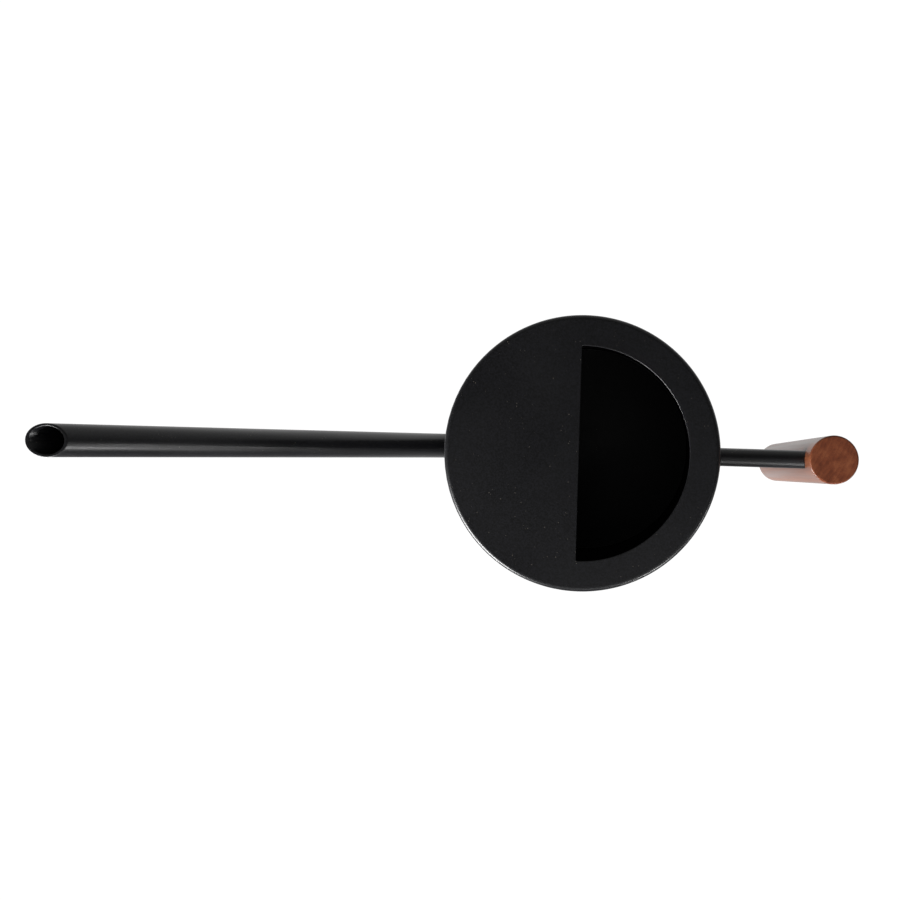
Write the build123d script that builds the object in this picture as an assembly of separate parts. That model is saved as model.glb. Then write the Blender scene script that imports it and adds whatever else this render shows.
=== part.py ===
from build123d import *
import os
from math import atan2, cos, hypot, sin

# A watering can: a round can of sheet steel with a half-moon filling hole in its flat top, one long
# straight spout, and an upright wooden grip on a single rod. All in millimetres.
# The origin is the centre of the base's underside. +Z is up, the spout points to -X, the grip is at +X.

# ---------------------------------------------------------------- driving dimensions
# Can
body_diameter = 125.0
body_height = 160.0
wall = 1.0  # sheet of the rolled shell
disc_thickness = 1.2  # sheet of the pressed top and base
rim_radius = 2.2  # outside rounding where each turns down into the wall
rim_skirt = 1.0  # straight below the rounding
rim_weld = 0.8  # height of the butt weld between skirt and shell, ground flush
seam_angle = -30.0  # the shell's seam, turned clear of the arm's hole
seam_gap = 0.8  # between the rolled sheet's two edges
seam_crown = 0.5  # how far the seam stands into the can
seam_width = 2.6
seam_end = 2.0  # the crown stops this far from the rim welds

# Filling hole
rim_width = 14.0  # flat rim outside the half-moon
chord_offset = 1.3  # its straight edge lies this far past the middle, on the spout's side
hole_corner = 1.0
hole_edge = 0.3  # rounding of its upper edge

# Spout
spout_diameter = 13.5
spout_wall = 1.0
spout_reach = 148.5  # from the wall to the middle of the tip
spout_root_height = 29.0  # of its axis at the wall, above the base
spout_rise = 60.0  # of the tip above the can's top
spout_seam = 0.6
spout_hole_ledge = 0.3  # the shell's hole is this much smaller all round than the tube's bore
spout_weld = 1.8

# Arm
arm_diameter = 8.4
arm_drop = 14.5  # of its axis below the can's top
arm_inset = 1.5  # how far it stands out of the doubler
arm_hole_gap = 0.1
arm_weld = 1.4
arm_end_chamfer = 0.5
doubler_width = 30.0
doubler_height = 20.0
doubler_thickness = 1.5
doubler_corner = 4.0
tack_length = 12.0
tack_size = 1.2

# Grip
grip_diameter = 22.0
grip_length = 140.0
grip_edge = 0.8
grip_turn = 2.0  # degrees that its foot is swung towards -Y about the arm, as it was tightened
finger_gap = 39.2  # from the can's wall to the grip
seat_depth = 3.0  # how far the arm sits in the wood
seat_gap = 0.1

# Threaded stud and insert, M5
thread_major = 5.0
thread_minor = 4.1
thread_pitch = 0.8
stud_length = 20.0
stud_hexagon = 2.5
stud_hexagon_depth = 3.0
tap_runout = 2.0  # plain hole past the stud's end in the arm
insert_diameter = 8.0
insert_core = 7.0
insert_pitch = 1.6
insert_length = 11.2
insert_gap = 0.3  # between the arm's end and the insert
pilot_runout = 1.2  # plain hole past the insert

# ---------------------------------------------------------------- places worked out from them
body_radius = body_diameter / 2
shell_radius = body_radius - wall
skirt_end = rim_radius + rim_skirt  # from the can's top or base to the edge of its skirt
shell_end = skirt_end + rim_weld  # and to the edge of the shell
hole_radius = body_radius - rim_width
arm_radius = arm_diameter / 2
arm_height = body_height - arm_drop
spout_radius = spout_diameter / 2
spout_bore = spout_radius - spout_wall
grip_radius = grip_diameter / 2
grip_x = body_radius + finger_gap + grip_radius
grip_side = grip_x - grip_radius
arm_start = shell_radius - doubler_thickness - arm_inset
arm_end = grip_side + seat_depth
stud_start = arm_end - stud_length / 2
insert_start = arm_end + insert_gap

tip_height = body_height + spout_rise
spout_angle = atan2(tip_height - spout_root_height, spout_reach)
spout_tip = Vector(-body_radius - spout_reach, 0, tip_height)
spout_direction = Vector(-cos(spout_angle), 0, sin(spout_angle))
spout_length = hypot(spout_reach, tip_height - spout_root_height)
beyond = 40.0  # how far cutting tools run past what they cut


# ---------------------------------------------------------------- shapes used more than once
def round_bar(radius, start, direction, length):
    """A solid bar from a point, along a direction."""
    return Plane(start, z_dir=direction) * Cylinder(
        radius, length, align=(Align.CENTER, Align.CENTER, Align.MIN)
    )


def upright(radius, low, high):
    """A solid bar on the can's axis between two heights."""
    return round_bar(radius, Vector(0, 0, low), Vector(0, 0, 1), high - low)


def curved_layer(outer, inner):
    """The space between two radii about the can's axis, well past both ends of the can."""
    return upright(outer, -beyond, tip_height + beyond) - upright(
        inner, -2 * beyond, tip_height + 2 * beyond
    )


def sunk_box(x_range, y_range, z_range):
    """A box from its ranges."""
    size = [high - low for low, high in (x_range, y_range, z_range)]
    middle = [(high + low) / 2 for low, high in (x_range, y_range, z_range)]
    return Pos(*middle) * Box(*size)


def pressed_disc():
    """The can's top with no hole: a flat sheet whose edge turns down through a rounding into a skirt."""
    flat_end = body_radius - rim_radius
    bend = body_height - rim_radius
    skirt = body_height - skirt_end
    inner_radius = rim_radius - disc_thickness
    outside = CenterArc((flat_end, bend), rim_radius, start_angle=0, arc_size=90)
    inside = CenterArc((flat_end, bend), inner_radius, start_angle=0, arc_size=90)
    top = Line((0, body_height), (flat_end, body_height))
    outer_skirt = Line((body_radius, bend), (body_radius, skirt))
    edge = Line((body_radius, skirt), (body_radius - disc_thickness, skirt))
    inner_skirt = Line((body_radius - disc_thickness, skirt), (body_radius - disc_thickness, bend))
    under = Line((flat_end, body_height - disc_thickness), (0, body_height - disc_thickness))
    middle = Line((0, body_height - disc_thickness), (0, body_height))
    section = make_face([top, outside, outer_skirt, edge, inner_skirt, inside, under, middle])
    return revolve(Plane.XZ * section, axis=Axis.Z)


def collar(bar_radius, start, direction, outer, inner):
    """A weld bead round a bar where it passes a curved wall: as wide on the wall as it stands off it."""
    leg = abs(outer - inner)
    reach = spout_length / 2
    thick = round_bar(bar_radius + leg, start, direction, reach)
    thin = round_bar(bar_radius, start - direction * beyond, direction, reach + 2 * beyond)
    return (thick & curved_layer(outer, inner)) - thin


def ring_thread(major, minor, pitch, length):
    """A rod along +Z whose thread is drawn as level rings, one to a pitch."""
    rings = int(length / pitch)
    outline = [(0, 0), (minor / 2, 0)]
    for ring in range(rings):
        foot = ring * pitch
        outline.append((major / 2, foot + 0.375 * pitch))
        outline.append((major / 2, foot + 0.5 * pitch))
        outline.append((minor / 2, foot + 0.875 * pitch))
    outline += [(minor / 2, length), (0, length)]
    return revolve(Plane.XZ * make_face(Polyline(*outline, close=True)), axis=Axis.Z)


def along_arm(shape, x):
    """Lays a shape that stands on +Z down along the arm's axis, with its foot at x."""
    return Plane((x, 0, arm_height), z_dir=(1, 0, 0)) * shape


def arm_bar(radius, low_x, high_x):
    """A solid bar on the arm's axis between two places along X."""
    return round_bar(radius, Vector(low_x, 0, arm_height), Vector(1, 0, 0), high_x - low_x)


# ---------------------------------------------------------------- can
def make_seam_tool():
    """The slot between the rolled sheet's two edges."""
    half = seam_gap / 2
    slot = sunk_box((shell_radius - wall, body_radius + wall), (-half, half), (0, body_height))
    return Rot(0, 0, seam_angle) * slot


def make_spout_hole():
    """The oval hole behind the spout, cut square to the sheet."""
    half_width = spout_bore - spout_hole_ledge
    oval = Ellipse(half_width, half_width / cos(spout_angle))
    plane = Plane((-shell_radius / 2, 0, spout_root_height), x_dir=(0, 1, 0), z_dir=(-1, 0, 0))
    return extrude(plane * oval, body_diameter)


def make_arm_hole():
    return arm_bar(arm_radius + arm_hole_gap, 0, body_diameter)


def make_shell():
    tube = upright(body_radius, shell_end, body_height - shell_end)
    tube -= upright(shell_radius, 0, body_height)
    return tube - make_seam_tool() - make_spout_hole() - make_arm_hole()


def make_shell_seam():
    """Fills the slot flush outside, and stands a little into the can as a rounded crown."""
    span = upright(body_diameter, shell_end, body_height - shell_end)
    fill = curved_layer(body_radius, shell_radius) & span & make_seam_tool()
    end = shell_end + seam_end
    half = seam_width / 2
    crown = sunk_box((0, body_diameter), (-half, half), (end, body_height - end))
    crown &= curved_layer(shell_radius, shell_radius - seam_crown)
    crest = crown.edges().filter_by(Axis.Z).sort_by(SortBy.DISTANCE)[:2]
    crown = fillet(crest, 0.9 * seam_crown)
    return fill + Rot(0, 0, seam_angle) * crown


def make_top_plate():
    plate = pressed_disc()
    keep = Pos(hole_radius - chord_offset, 0) * Rectangle(2 * hole_radius, 2 * hole_radius)
    half_moon = Circle(hole_radius) & keep
    half_moon = fillet(half_moon.vertices(), hole_corner)
    plate -= Pos(0, 0, body_height - disc_thickness) * extrude(half_moon, disc_thickness)
    rim = [
        edge
        for edge in plate.edges()
        if abs(edge.center().Z - body_height) < 0.01 and edge.bounding_box().max.X < hole_radius + 1
    ]
    return fillet(rim, hole_edge)


def make_base_plate():
    return mirror(pressed_disc(), Plane.XY.offset(body_height / 2))


def make_rim_weld(low):
    """The ring between a skirt and the shell, from its lower edge up."""
    return upright(body_radius, low, low + rim_weld) - upright(shell_radius, 0, body_height)


# ---------------------------------------------------------------- spout
def spout_tool(radius):
    """A bar along the spout's axis, from inside the can to past the tip."""
    start = spout_tip - spout_direction * (spout_length + beyond / 2)
    return round_bar(radius, start, spout_direction, spout_length + beyond)


def trimmed_spout(shape):
    """Copes the lower end to the outside of the can and cuts the tip level."""
    shape -= upright(body_radius, -2 * beyond, tip_height + beyond)
    wide = 2 * (spout_reach + body_diameter)
    return shape - sunk_box((-wide, wide), (-wide, wide), (tip_height, tip_height + 2 * beyond))


def spout_seam_tool():
    """A slot along the tube's underside."""
    half = spout_seam / 2
    slot = sunk_box((0, spout_diameter), (-half, half), (0, spout_length + beyond))
    start = spout_tip - spout_direction * (spout_length + beyond / 2)
    return Plane(start, x_dir=(-sin(spout_angle), 0, -cos(spout_angle)), z_dir=spout_direction) * slot


def hollow_spout():
    return spout_tool(spout_radius) - spout_tool(spout_bore)


def make_spout_tube():
    return trimmed_spout(hollow_spout() - spout_seam_tool())


def make_spout_seam():
    return trimmed_spout(hollow_spout() & spout_seam_tool())


def make_spout_weld():
    start = spout_tip - spout_direction * (spout_length + spout_diameter)
    return collar(spout_radius, start, spout_direction, body_radius + spout_weld, body_radius)


# ---------------------------------------------------------------- arm
def make_arm():
    rod = arm_bar(arm_radius, arm_start, arm_end)
    rod = chamfer(rod.faces().sort_by(Axis.X)[0].edges(), arm_end_chamfer)
    rod -= make_stud_envelope()
    return rod - arm_bar(thread_minor / 2, stud_start - tap_runout, stud_start)


def make_arm_outer_weld():
    start = Vector(body_radius - doubler_thickness, 0, arm_height)
    return collar(arm_radius, start, Vector(1, 0, 0), body_radius + arm_weld, body_radius)


def make_arm_inner_weld():
    face = shell_radius - doubler_thickness
    start = Vector(face - doubler_width, 0, arm_height)
    return collar(arm_radius, start, Vector(1, 0, 0), face, face - arm_weld)


def make_doubler():
    blank = sunk_box(
        (shell_radius / 2, body_diameter),
        (-doubler_width / 2, doubler_width / 2),
        (arm_height - doubler_height / 2, arm_height + doubler_height / 2),
    )
    blank = fillet(blank.edges().filter_by(Axis.X), doubler_corner)
    plate = blank & curved_layer(shell_radius, shell_radius - doubler_thickness)
    return plate - make_arm_hole()


def make_doubler_welds():
    """Two short beads up the doubler's sides."""
    side = doubler_width / 2
    tack = sunk_box(
        (shell_radius / 2, body_diameter),
        (side, side + tack_size),
        (arm_height - tack_length / 2, arm_height + tack_length / 2),
    )
    tack &= curved_layer(shell_radius, shell_radius - tack_size)
    return Compound([*tack.solids(), *mirror(tack, Plane.XZ).solids()])


# ---------------------------------------------------------------- grip
def make_stud_envelope():
    """The stud's outside, with no hexagon, as its threaded holes see it."""
    return along_arm(ring_thread(thread_major, thread_minor, thread_pitch, stud_length), stud_start)


def make_stud():
    socket = extrude(RegularPolygon(stud_hexagon / 2, 6, major_radius=False), stud_hexagon_depth)
    end = stud_start + stud_length
    return make_stud_envelope() - along_arm(socket, end - stud_hexagon_depth)


def make_insert_envelope():
    return along_arm(ring_thread(insert_diameter, insert_core, insert_pitch, insert_length), insert_start)


def make_insert():
    hole = arm_bar(thread_minor / 2, arm_end, insert_start + insert_length + insert_gap)
    return make_insert_envelope() - make_stud_envelope() - hole


def make_grip():
    foot = Vector(grip_x, 0, body_height - grip_length)
    dowel = round_bar(grip_radius, foot, Vector(0, 0, 1), grip_length)
    dowel = fillet(dowel.edges().filter_by(GeomType.CIRCLE), grip_edge)
    dowel = dowel.rotate(Axis((0, 0, arm_height), (1, 0, 0)), -grip_turn)
    seat = arm_bar(arm_radius + seat_gap, body_radius, arm_end)
    pilot = arm_bar(insert_core / 2, arm_end, insert_start + insert_length + pilot_runout)
    return dowel - seat - pilot - make_insert_envelope()


# ---------------------------------------------------------------- every piece, one STEP file each
pieces = {
    "body_shell": make_shell(),
    "shell_seam_weld": make_shell_seam(),
    "top_plate": make_top_plate(),
    "top_rim_weld": make_rim_weld(body_height - shell_end),
    "base_plate": make_base_plate(),
    "base_rim_weld": make_rim_weld(skirt_end),
    "spout_tube": make_spout_tube(),
    "spout_seam_weld": make_spout_seam(),
    "spout_root_weld": make_spout_weld(),
    "handle_arm": make_arm(),
    "arm_outer_weld": make_arm_outer_weld(),
    "arm_doubler": make_doubler(),
    "doubler_welds": make_doubler_welds(),
    "arm_inner_weld": make_arm_inner_weld(),
    "grip": make_grip(),
    "grip_stud": make_stud(),
    "grip_insert": make_insert(),
}

os.makedirs("parts", exist_ok=True)
for name, piece in pieces.items():
    solids = piece.solids()
    export_step(solids[0] if len(solids) == 1 else Compound(list(solids)), f"parts/{name}.step")
    print(name, len(solids), "solid(s),", round(sum(solid.volume for solid in solids), 1), "mm3")
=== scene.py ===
# %% [markdown]
# # A watering can with one long spout
#
# The can is sheet steel, rolled and welded, with a coat of fine matte black powder. A half-moon
# hole in its flat top takes the water in. One straight tube pours it out, and a stained wooden
# dowel on a short rod is the grip.
#
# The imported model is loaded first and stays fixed. Each visible piece is then worked out again as
# a smooth surface of the same size in the same place, because a surface made from a formula can
# carry what a plain model leaves out: eased edges, hand-ground welds, a deburred tip. What lies
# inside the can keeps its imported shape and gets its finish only.

# %% Load the frame
import math

import bpy
import numpy as np
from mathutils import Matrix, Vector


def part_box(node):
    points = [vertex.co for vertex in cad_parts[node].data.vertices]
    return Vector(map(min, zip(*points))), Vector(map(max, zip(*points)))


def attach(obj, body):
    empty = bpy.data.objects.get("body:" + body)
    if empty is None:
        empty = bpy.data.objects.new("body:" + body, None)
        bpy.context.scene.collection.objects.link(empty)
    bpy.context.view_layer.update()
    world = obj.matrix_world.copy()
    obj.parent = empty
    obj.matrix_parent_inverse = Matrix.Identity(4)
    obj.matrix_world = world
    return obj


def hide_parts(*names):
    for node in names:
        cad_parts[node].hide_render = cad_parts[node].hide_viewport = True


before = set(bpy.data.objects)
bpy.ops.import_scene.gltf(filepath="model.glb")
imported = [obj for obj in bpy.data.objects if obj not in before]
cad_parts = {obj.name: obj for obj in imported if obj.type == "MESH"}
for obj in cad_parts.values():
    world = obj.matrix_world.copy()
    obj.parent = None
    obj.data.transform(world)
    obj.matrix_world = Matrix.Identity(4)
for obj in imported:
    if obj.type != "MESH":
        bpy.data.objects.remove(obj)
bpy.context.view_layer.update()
MM = 0.001

# %% [markdown]
# ## Sizes, read from the frame
#
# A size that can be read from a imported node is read, so the looks follow the design. Only what a
# box can't tell, such as the thickness of a wall, is written here as a named value.

# %% Sizes of the can, the spout, the arm and the grip
shell_low, shell_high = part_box("body_shell")
plate_low, plate_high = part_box("top_plate")
base_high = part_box("base_plate")[1]
spout_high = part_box("spout_tube")[1]
arm_low, arm_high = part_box("handle_arm")
grip_low, grip_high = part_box("grip")
insert_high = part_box("grip_insert")[1]
stud_low, stud_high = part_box("grip_stud")
spout_weld_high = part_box("spout_root_weld")[1]
arm_weld_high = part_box("arm_outer_weld")[1]

WALL = 1.0 * MM
DISC_THICKNESS = 1.2 * MM
RIM_RADIUS = 2.2 * MM
RIM_WIDTH = 14.0 * MM
CHORD_OFFSET = 1.3 * MM
HOLE_CORNER = 1.0 * MM
GRIP_LENGTH = 140.0 * MM
GRIP_TURN = math.radians(2.0)
GRIP_EDGE = 0.8 * MM
SEAT_GAP = 0.1 * MM

can_radius = shell_high.x
can_height = plate_high.z
flat_radius = can_radius - RIM_RADIUS
hole_radius = can_radius - RIM_WIDTH
spout_radius = spout_high.y
arm_radius = arm_high.y
arm_height = (arm_low.z + arm_high.z) / 2
grip_radius = (grip_high.x - grip_low.x) / 2
grip_x = (grip_high.x + grip_low.x) / 2
print("can radius, height:", round(can_radius / MM, 2), round(can_height / MM, 2))

# %% [markdown]
# The spout's slant can be read too. Its tip is cut level, and a level cut through a slanted round
# tube is an oval: the oval is longer than the tube is wide by one over the sine of the slant.

# %% The spout's slant, from the oval of its level tip
LEVEL_SLACK = 0.01 * MM

spout_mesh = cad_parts["spout_tube"].data
points = np.empty(3 * len(spout_mesh.vertices))
spout_mesh.vertices.foreach_get("co", points)
points = points.reshape(-1, 3)
tip_x = points[points[:, 2] > spout_high.z - LEVEL_SLACK, 0]
spout_angle = math.asin(2 * spout_radius / (tip_x.max() - tip_x.min()))
spout_tip = np.array([(tip_x.max() + tip_x.min()) / 2, 0.0, spout_high.z])
print("spout slant in degrees:", round(math.degrees(spout_angle), 2))

# %% [markdown]
# ## From formula to mesh
#
# Every piece here is one idea: a section carried round a path. The section is a short row of
# corners, and each corner is a whole ring of points, so a piece is a small stack of rings. Two
# helpers do the rest. `eased` rounds the corners, as a file or a grinder does, because no real
# edge is perfectly sharp and it is the rounding that catches the light. `skin` turns the stack
# into a closed mesh. Blender could bevel the edges instead, but a curve worked out here keeps its
# exact size and may differ round the ring.

# %% Rounding the corners of a section
EASE_STEPS = 9
HOLD = 1.4
TINY = 1e-12


def unit(vectors):
    """Each vector divided by its length."""
    return vectors / np.maximum(np.linalg.norm(vectors, axis=-1, keepdims=True), TINY)


def eased(corners, easings, closed=True):
    """Rounds a section's corners. A corner C becomes the curve (1-w)^2 A + 2w(1-w) C + w^2 B, for w
    from 0 to 1, where A and B lie one easing away from C on its two sides. HOLD easings away on
    each side one more ring holds the flat beside it. An easing of 0 leaves the corner sharp."""
    rows = []
    w = np.linspace(0, 1, EASE_STEPS)[:, None, None]
    for place, (corner, easing) in enumerate(zip(corners, easings)):
        at_end = not closed and place in (0, len(corners) - 1)
        if at_end or np.max(easing) == 0:
            rows.append(corner[None])
            continue
        length = np.broadcast_to(easing, len(corner))[:, None]
        back = unit(corners[place - 1] - corner) * length
        onward = unit(corners[(place + 1) % len(corners)] - corner) * length
        curve = (1 - w) ** 2 * (corner + back) + 2 * w * (1 - w) * corner + w**2 * (corner + onward)
        rows += [(corner + HOLD * back)[None], curve, (corner + HOLD * onward)[None]]
    return np.concatenate(rows)


# %% Turning a stack of rings into a closed mesh
SHARP_ANGLE = math.radians(40)


def signed_volume(verts, triangles):
    """A sixth of the sum of a . (b x c) over the triangles: positive when faces point outwards."""
    a, b, c = (verts[triangles[:, k]] for k in range(3))
    return np.einsum("ij,ij->", a, np.cross(b, c)) / 6


def skin(name, rows, closed=True):
    """A mesh from rings of points, rows by columns by 3. Columns always join up. Rows join up when
    the section is closed, and otherwise a pole in the middle of each end ring closes the end."""
    count, around = rows.shape[:2]
    verts = rows.reshape(-1, 3)
    low = np.arange(count if closed else count - 1)[:, None] * around
    high = (low + around) % (count * around)
    here = np.arange(around)[None]
    there = (here + 1) % around
    quads = np.stack([low + here, low + there, high + there, high + here], -1).reshape(-1, 4)
    faces = quads.tolist()
    triangles = np.concatenate([quads[:, [0, 1, 2]], quads[:, [0, 2, 3]]])
    if not closed:
        poles = np.stack([rows[0].mean(0), rows[-1].mean(0)])
        first = np.stack([here[0], np.full(around, len(verts)), there[0]], -1)
        last = (count - 1) * around
        final = np.stack([last + there[0], np.full(around, len(verts) + 1), last + here[0]], -1)
        caps = np.concatenate([first, final])
        verts = np.concatenate([verts, poles])
        faces += caps.tolist()
        triangles = np.concatenate([triangles, caps])
    if signed_volume(verts, triangles) < 0:
        faces = [face[::-1] for face in faces]
    mesh = bpy.data.meshes.new(name)
    mesh.from_pydata(verts.tolist(), [], faces)
    mesh.polygons.foreach_set("use_smooth", np.ones(len(faces), bool))
    mesh.set_sharp_from_angle(angle=SHARP_ANGLE)
    piece = bpy.data.objects.new(name, mesh)
    bpy.context.scene.collection.objects.link(piece)
    size = (verts.max(0) - verts.min(0)) / MM
    print(f"{name}: {len(faces)} faces, {size.round(2).tolist()} mm")
    return piece


# %% [markdown]
# Round bars and tubes lie along three directions here: straight up, along the arm, and up the
# spout. A small class holds such an axis and gives rings about it.


# %% An axis, and rings about it
class Bar:
    """A line to turn things about: a start, a direction, and a side from which angles are counted."""

    def __init__(self, start, direction, side):
        self.start = np.array(start, float)
        self.along = unit(np.array(direction, float))
        self.side = unit(np.array(side, float))
        self.across = np.cross(self.along, self.side)

    def ring(self, angles, radius, distance):
        """start + distance * along + radius * (cos angle * side + sin angle * across)."""
        radius = np.broadcast_to(radius, angles.shape)[:, None]
        distance = np.broadcast_to(distance, angles.shape)[:, None]
        turn = np.cos(angles)[:, None] * self.side + np.sin(angles)[:, None] * self.across
        return self.start + distance * self.along + radius * turn

    def meets_can(self, angles, radius, can):
        """How far along the bar a line at that radius meets the can's round wall: solved from
        x = wall's x at that y, for the wall that the bar points at."""
        offset = self.ring(angles, radius, 0)
        wall_x = math.copysign(1, self.along[0]) * np.sqrt(can**2 - offset[:, 1] ** 2)
        return (wall_x - offset[:, 0]) / self.along[0]


def turn(count):
    """Evenly spaced angles, once round."""
    return np.arange(count) * 2 * math.pi / count


upright = Bar((0, 0, 0), (0, 0, 1), (1, 0, 0))
arm_line = Bar((0, 0, arm_height), (1, 0, 0), (0, 0, 1))
spout_way = (-math.cos(spout_angle), 0, math.sin(spout_angle))
spout_top_side = (math.sin(spout_angle), 0, math.cos(spout_angle))
spout_line = Bar(spout_tip, spout_way, spout_top_side)
spout_line.start = spout_tip - spout_line.along * (spout_tip[2] / math.sin(spout_angle))
print("the spout's line leaves z = 0 at x =", round(spout_line.start[0] / MM, 2), "mm")

# %% [markdown]
# ## The shell
#
# One strip of 1 mm sheet, rolled and butt-welded, with the seam ground flush. On the bench the
# spout's hole and the arm's hole are cut while it is flat. Rolled sheet is never perfectly
# round, and matte paint shows it as slow changes in the highlight, so the wall's radius swells
# and shrinks by a few hundredths of a millimetre round the can and up it. The holes are cut with
# Boolean modifiers, which suit a hole through a curved wall better than a grid does.

# %% The rolled wall
CAN_AROUND = 288
SHELL_ROWS = 24
ROLL_WAVE = 0.03 * MM


def roll_wave(angles, height):
    """Low waves left by the rollers: three round the can, and seven weaker ones that twist with the
    height, all times a half sine up the wall, so that they fade to nothing at both ends."""
    fade = math.sin(math.pi * (height - shell_low.z) / (shell_high.z - shell_low.z))
    twist = 4 * height / can_height
    return ROLL_WAVE * fade * (np.sin(3 * angles + 0.6) + 0.6 * np.sin(7 * angles + twist))


def rolled_wall():
    """Rings up the outside and down the inside at the same heights, each ring's radius being the
    can's, plus the rollers' wave, less the wall on the way down."""
    angles = turn(CAN_AROUND)
    heights = np.linspace(shell_low.z, shell_high.z, SHELL_ROWS)
    outside = [upright.ring(angles, can_radius + roll_wave(angles, z), z) for z in heights]
    bore = can_radius - WALL
    inside = [upright.ring(angles, bore + roll_wave(angles, z), z) for z in heights[::-1]]
    return skin("can_shell", np.stack(outside + inside))


can_shell = rolled_wall()

# %% [markdown]
# The Boolean modifiers are applied at once: a cutter is a temporary piece, and the finished mesh
# has to stand alone.

# %% Cutting a hole with a second piece
CUTTER_AROUND = 96


def cut_away(piece, cutter):
    """Takes the cutter's space out of the piece, keeps the result and throws the cutter away."""
    modifier = piece.modifiers.new("cut", "BOOLEAN")
    modifier.operation = "DIFFERENCE"
    modifier.solver = "EXACT"
    modifier.object = cutter
    shaped = piece.evaluated_get(bpy.context.evaluated_depsgraph_get())
    result = bpy.data.meshes.new_from_object(shaped)
    result.name = piece.name
    piece.modifiers.clear()
    piece.data = result
    result.polygons.foreach_set("use_smooth", np.ones(len(result.polygons), bool))
    result.set_sharp_from_angle(angle=SHARP_ANGLE)
    bpy.data.objects.remove(cutter)
    print(f"{piece.name}: {len(result.polygons)} faces after the cut")


def turned_cutter(bar, outline):
    """A turned cutter on a bar, from the radii and distances of its outline."""
    angles = turn(CUTTER_AROUND)
    return skin("cutter", np.stack([bar.ring(angles, r, s) for r, s in outline]), closed=False)


# %% [markdown]
# The arm's hole is round, with a hair of clearance. The spout meets the wall at a slant, so its
# hole is an oval: as wide as the tube's bore less a small ledge that the tube's end rests on, and
# taller by one over the cosine of the slant.

# %% The arm's hole and the spout's
SPOUT_WALL = 1.0 * MM
HOLE_LEDGE = 0.3 * MM
ARM_HOLE_GAP = 0.1 * MM
CUT_FROM, CUT_TO = 0.5, 1.5

spout_bore = spout_radius - SPOUT_WALL
hole_half = spout_bore - HOLE_LEDGE
spout_root_z = (-can_radius - spout_line.start[0]) * math.tan(-spout_angle)
hole_line = Bar((0, 0, spout_root_z), (-1, 0, 0), (0, 0, 1))
hole_angles = turn(CUTTER_AROUND)
oval = hole_half / np.hypot(np.cos(hole_angles) * math.cos(spout_angle), np.sin(hole_angles))
cut_ends = (can_radius * CUT_FROM, can_radius * CUT_TO)
oval_rings = [hole_line.ring(hole_angles, oval, s) for s in cut_ends]
cut_away(can_shell, skin("cutter", np.stack(oval_rings), closed=False))
cut_away(can_shell, turned_cutter(arm_line, [(arm_radius + ARM_HOLE_GAP, s) for s in cut_ends]))

# %% [markdown]
# ## The pressed top and its half-moon hole
#
# The top is a sheet pressed over a round die, so its edge rolls down into a short skirt through a
# rounding of 2.2 mm. That rounding draws the can's bright outline. The half-moon is then cut: an
# arc that shares the can's centre and a straight chord, with 1 mm corners where they meet. A
# Boolean could cut it, but the edge of this hole is the crispest line on the object, so
# the whole top is one section carried round the half-moon's own outline. Each ring follows
# the outline, or a circle that is met by rays from a point inside the hole, so that no two
# columns cross.

# %% The half-moon's outline
ARC_POINTS = 150
CHORD_POINTS = 60
CORNER_POINTS = 14


def circle_part(centre, radius, angles):
    """centre + radius * (cos angle, sin angle)."""
    return np.array(centre) + radius * np.stack([np.cos(angles), np.sin(angles)], -1)


def half_moon():
    """Points round the hole, anticlockwise: an arc of the hole's radius, then a chord at x = -offset
    between two corner arcs, whose centres lie one corner radius inside both arc and chord."""
    centre_x = HOLE_CORNER - CHORD_OFFSET
    centre_y = math.sqrt((hole_radius - HOLE_CORNER) ** 2 - centre_x**2)
    reach = math.atan2(centre_y, centre_x)
    arc = np.linspace(-reach, reach, ARC_POINTS)
    upper = np.linspace(reach, math.pi, CORNER_POINTS)[1:]
    lower = np.linspace(math.pi, 2 * math.pi - reach, CORNER_POINTS)[:-1]
    chord_y = np.linspace(centre_y, -centre_y, CHORD_POINTS)[1:-1]
    parts = [
        circle_part((0, 0), hole_radius, arc),
        circle_part((centre_x, centre_y), HOLE_CORNER, upper),
        np.stack([np.full(len(chord_y), -CHORD_OFFSET), chord_y], -1),
        circle_part((centre_x, -centre_y), HOLE_CORNER, lower),
    ]
    return np.concatenate(parts)


hole_outline = half_moon()
print("half-moon:", len(hole_outline), "points,", (np.ptp(hole_outline, 0) / MM).round(2), "mm")


# %% From the hole's outline to rings
def at_height(flat, z):
    """Flat points lifted to a height."""
    return np.column_stack([flat, np.full(len(flat), z)])


def around_hole(spots):
    """The directions from the can's axis of the points where rays from a place inside the hole,
    through the spots, meet the flat's edge: the larger root of |eye + t * ray| = radius."""
    eye = np.array([hole_radius / 2, 0])
    ray = unit(spots - eye)
    along = ray @ eye
    t = -along + np.sqrt(along**2 - eye @ eye + flat_radius**2)
    return unit(eye + ray * t[:, None])


# %% The rounding from flat to skirt
RIM_ROWS = 14
PRESS_WAVER = 0.02 * MM


def rim_rounding(ways, radius, face_z, side):
    """Rings of a quarter circle from the flat to the skirt, about a centre one rim radius in: flat
    radius + radius * sin t out, and radius * cos t towards the face. side is 1 for the top and -1
    for the base. The press leaves a waver of a few hundredths, strongest half way round."""
    angles = np.arctan2(ways[:, 1], ways[:, 0])
    waver = np.sin(4 * angles + 1) + 0.5 * np.sin(9 * angles + 2)
    rows = []
    for t in np.linspace(0, math.pi / 2, RIM_ROWS):
        out = flat_radius + radius * math.sin(t) - PRESS_WAVER * waver * math.sin(2 * t)
        height = face_z - side * (RIM_RADIUS - radius * math.cos(t))
        rows.append(at_height(ways * out[:, None], height))
    return rows


# %% The top, as a section carried round the half-moon
HOLE_EASE = 0.42 * MM
UNDER_EASE = 0.1 * MM
FLAT_EDGE = 0.3 * MM


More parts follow.
